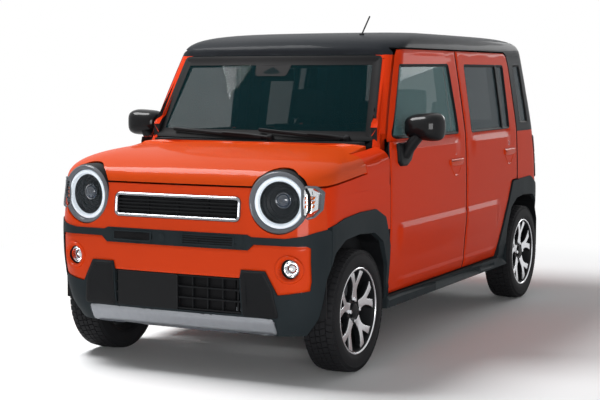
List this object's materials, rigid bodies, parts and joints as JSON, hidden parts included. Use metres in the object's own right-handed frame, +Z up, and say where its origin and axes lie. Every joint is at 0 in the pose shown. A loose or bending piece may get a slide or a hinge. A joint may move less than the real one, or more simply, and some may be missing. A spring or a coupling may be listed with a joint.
{
  "type": "kei car",
  "caption": "Tall kei-class hatchback car with clamshell bonnet, round headlamps, dark roof and arch cladding; doors, bonnet and tailgate swing, front wheels steer and all wheels turn.",
  "frame": {"origin": "on the ground under the middle of the bounding box", "axes": "+Z up, -Y towards the nose, +X towards the car's left side"},
  "size_m": [1.872, 3.3947, 1.6981],
  "materials": {
    "paint": "gloss orange paint",
    "black_paint": "gloss black paint",
    "cladding": "grained dark plastic",
    "silver_trim": "satin bright trim",
    "dark_trim": "matte black plastic",
    "lamp": "reflector and bezel",
    "red_lens": "red lens",
    "clear_glass": "clear greenish glass",
    "tinted_glass": "tinted privacy glass",
    "alloy": "machined",
    "rubber": "tyre rubber",
    "steel": "painted steel",
    "iron": "cast",
    "cloth": "dark seat cloth",
    "cabin_plastic": "cabin plastic"
  },
  "bodies": {
    "body": {"floor_pan": "steel", "body_sides": "paint", "rear_pillars": "black_paint", "roof": "black_paint", "fenders": "paint", "front_bumper": "paint", "bumper_cladding": "cladding", "skid_bar": "silver_trim", "grille_frame": "silver_trim", "grille_slats": "dark_trim", "number_plate": "dark_trim", "headlamps": "lamp", "turn_lamps": "lamp", "fog_lamps": "lamp", "arch_cladding": "cladding", "rear_bumper": "cladding", "tail_lamps": "red_lens", "windscreen": "clear_glass", "quarter_glass": "tinted_glass", "door_hinges": "steel", "wheel_liners": "dark_trim", "engine": "iron", "rear_axle": "steel", "exhaust": "steel", "fuel_tank": "dark_trim", "dashboard": "cabin_plastic", "front_seats": "cloth", "rear_seat": "cloth", "rear_view_mirror": "cabin_plastic", "antenna": "dark_trim", "front_subframe": "steel"},
    "bonnet": {"bonnet": "paint"},
    "door_front_left": {"door_front_left": "paint", "glass_front_left": "clear_glass", "mirror_left": "black_paint"},
    "door_front_right": {"door_front_right": "paint", "glass_front_right": "clear_glass", "mirror_right": "black_paint"},
    "door_rear_left": {"door_rear_left": "paint", "glass_rear_left": "tinted_glass"},
    "door_rear_right": {"door_rear_right": "paint", "glass_rear_right": "tinted_glass"},
    "tailgate": {"tailgate": "paint", "rear_glass": "tinted_glass"},
    "steering_wheel": {"steering_wheel": "cabin_plastic"},
    "knuckle_left": {"knuckle_left": "iron"},
    "knuckle_right": {"knuckle_right": "iron"},
    "wheel_front_left": {"tyre_front_left": "rubber", "rim_front_left": "alloy"},
    "wheel_front_right": {"tyre_front_right": "rubber", "rim_front_right": "alloy"},
    "wheel_rear_left": {"tyre_rear_left": "rubber", "rim_rear_left": "alloy"},
    "wheel_rear_right": {"tyre_rear_right": "rubber", "rim_rear_right": "alloy"}
  },
  "joints": [
    {"name": "bonnet_hinge", "type": "hinge", "parent": "body", "child": "bonnet", "pos_m": [0, -0.9865, 1.032], "axis": [-1, 0, 0], "range_deg": [0, 55]},
    {"name": "door_front_left_hinge", "type": "hinge", "parent": "body", "child": "door_front_left", "pos_m": [0.70674, -0.8285, 0.7], "axis": [0, 0, -1], "range_deg": [0, 65]},
    {"name": "door_front_right_hinge", "type": "hinge", "parent": "body", "child": "door_front_right", "pos_m": [-0.70674, -0.8285, 0.7], "axis": [0, 0, 1], "range_deg": [0, 65]},
    {"name": "door_rear_left_hinge", "type": "hinge", "parent": "body", "child": "door_rear_left", "pos_m": [0.70674, 0.2325, 0.7], "axis": [0, 0, -1], "range_deg": [0, 65]},
    {"name": "door_rear_right_hinge", "type": "hinge", "parent": "body", "child": "door_rear_right", "pos_m": [-0.70674, 0.2325, 0.7], "axis": [0, 0, 1], "range_deg": [0, 65]},
    {"name": "tailgate_hinge", "type": "hinge", "parent": "body", "child": "tailgate", "pos_m": [0, 1.49, 1.56641], "axis": [1, 0, 0], "range_deg": [0, 85]},
    {"name": "steer_left", "type": "hinge", "parent": "body", "child": "knuckle_left", "pos_m": [0.6, -1.2405, 0.2895], "axis": [0, 0, 1], "range_deg": [-34, 34]},
    {"name": "steer_right", "type": "hinge", "parent": "body", "child": "knuckle_right", "pos_m": [-0.6, -1.2405, 0.2895], "axis": [0, 0, 1], "range_deg": [-34, 34]},
    {"name": "steering_wheel_turn", "type": "hinge", "parent": "body", "child": "steering_wheel", "pos_m": [-0.335, -0.448, 0.93], "axis": [0, 0.8829, 0.4695], "range_deg": [-544, 544]},
    {"name": "wheel_front_left_spin", "type": "hinge", "parent": "knuckle_left", "child": "wheel_front_left", "pos_m": [0.645, -1.2405, 0.2895], "axis": [1, 0, 0], "continuous": true},
    {"name": "wheel_front_right_spin", "type": "hinge", "parent": "knuckle_right", "child": "wheel_front_right", "pos_m": [-0.645, -1.2405, 0.2895], "axis": [1, 0, 0], "continuous": true},
    {"name": "wheel_rear_left_spin", "type": "hinge", "parent": "body", "child": "wheel_rear_left", "pos_m": [0.645, 1.2195, 0.2895], "axis": [1, 0, 0], "continuous": true},
    {"name": "wheel_rear_right_spin", "type": "hinge", "parent": "body", "child": "wheel_rear_right", "pos_m": [-0.645, 1.2195, 0.2895], "axis": [1, 0, 0], "continuous": true}
  ],
  "couplings": [
    {"joint": "steer_right", "follows": "steer_left", "ratio": 1},
    {"joint": "steering_wheel_turn", "follows": "steer_left", "ratio": 16}
  ]
}
